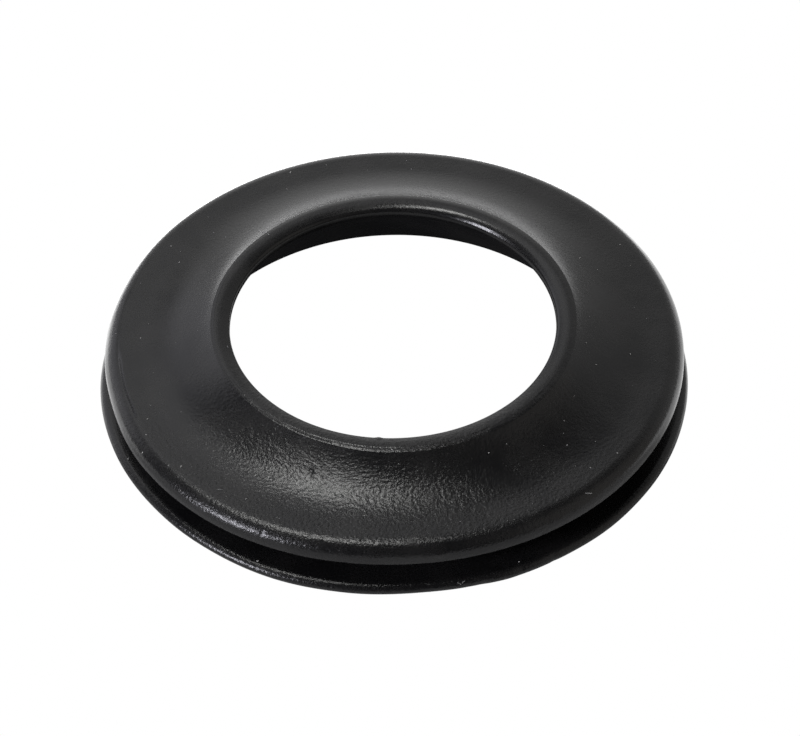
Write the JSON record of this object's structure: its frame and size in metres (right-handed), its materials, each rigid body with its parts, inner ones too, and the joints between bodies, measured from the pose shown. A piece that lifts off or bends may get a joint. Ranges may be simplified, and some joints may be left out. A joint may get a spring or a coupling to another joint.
{
  "type": "rubber grommet",
  "caption": "One-piece moulded rubber grommet: a ring with a raised flared collar round the bore and a groove between two flanges that grips the edge of a panel hole.",
  "frame": {"origin": "centre of the underside, on the axis of the bore", "axes": "+Z along the bore axis, out of the raised lip; +X and +Y are any two directions across the ring, because it is the same all round"},
  "size_m": [0.06, 0.06, 0.0092],
  "materials": {
    "black_rubber": "satin, finely pebbled moulded skin"
  },
  "bodies": {
    "root": {"grommet": "black_rubber"}
  },
  "joints": []
}
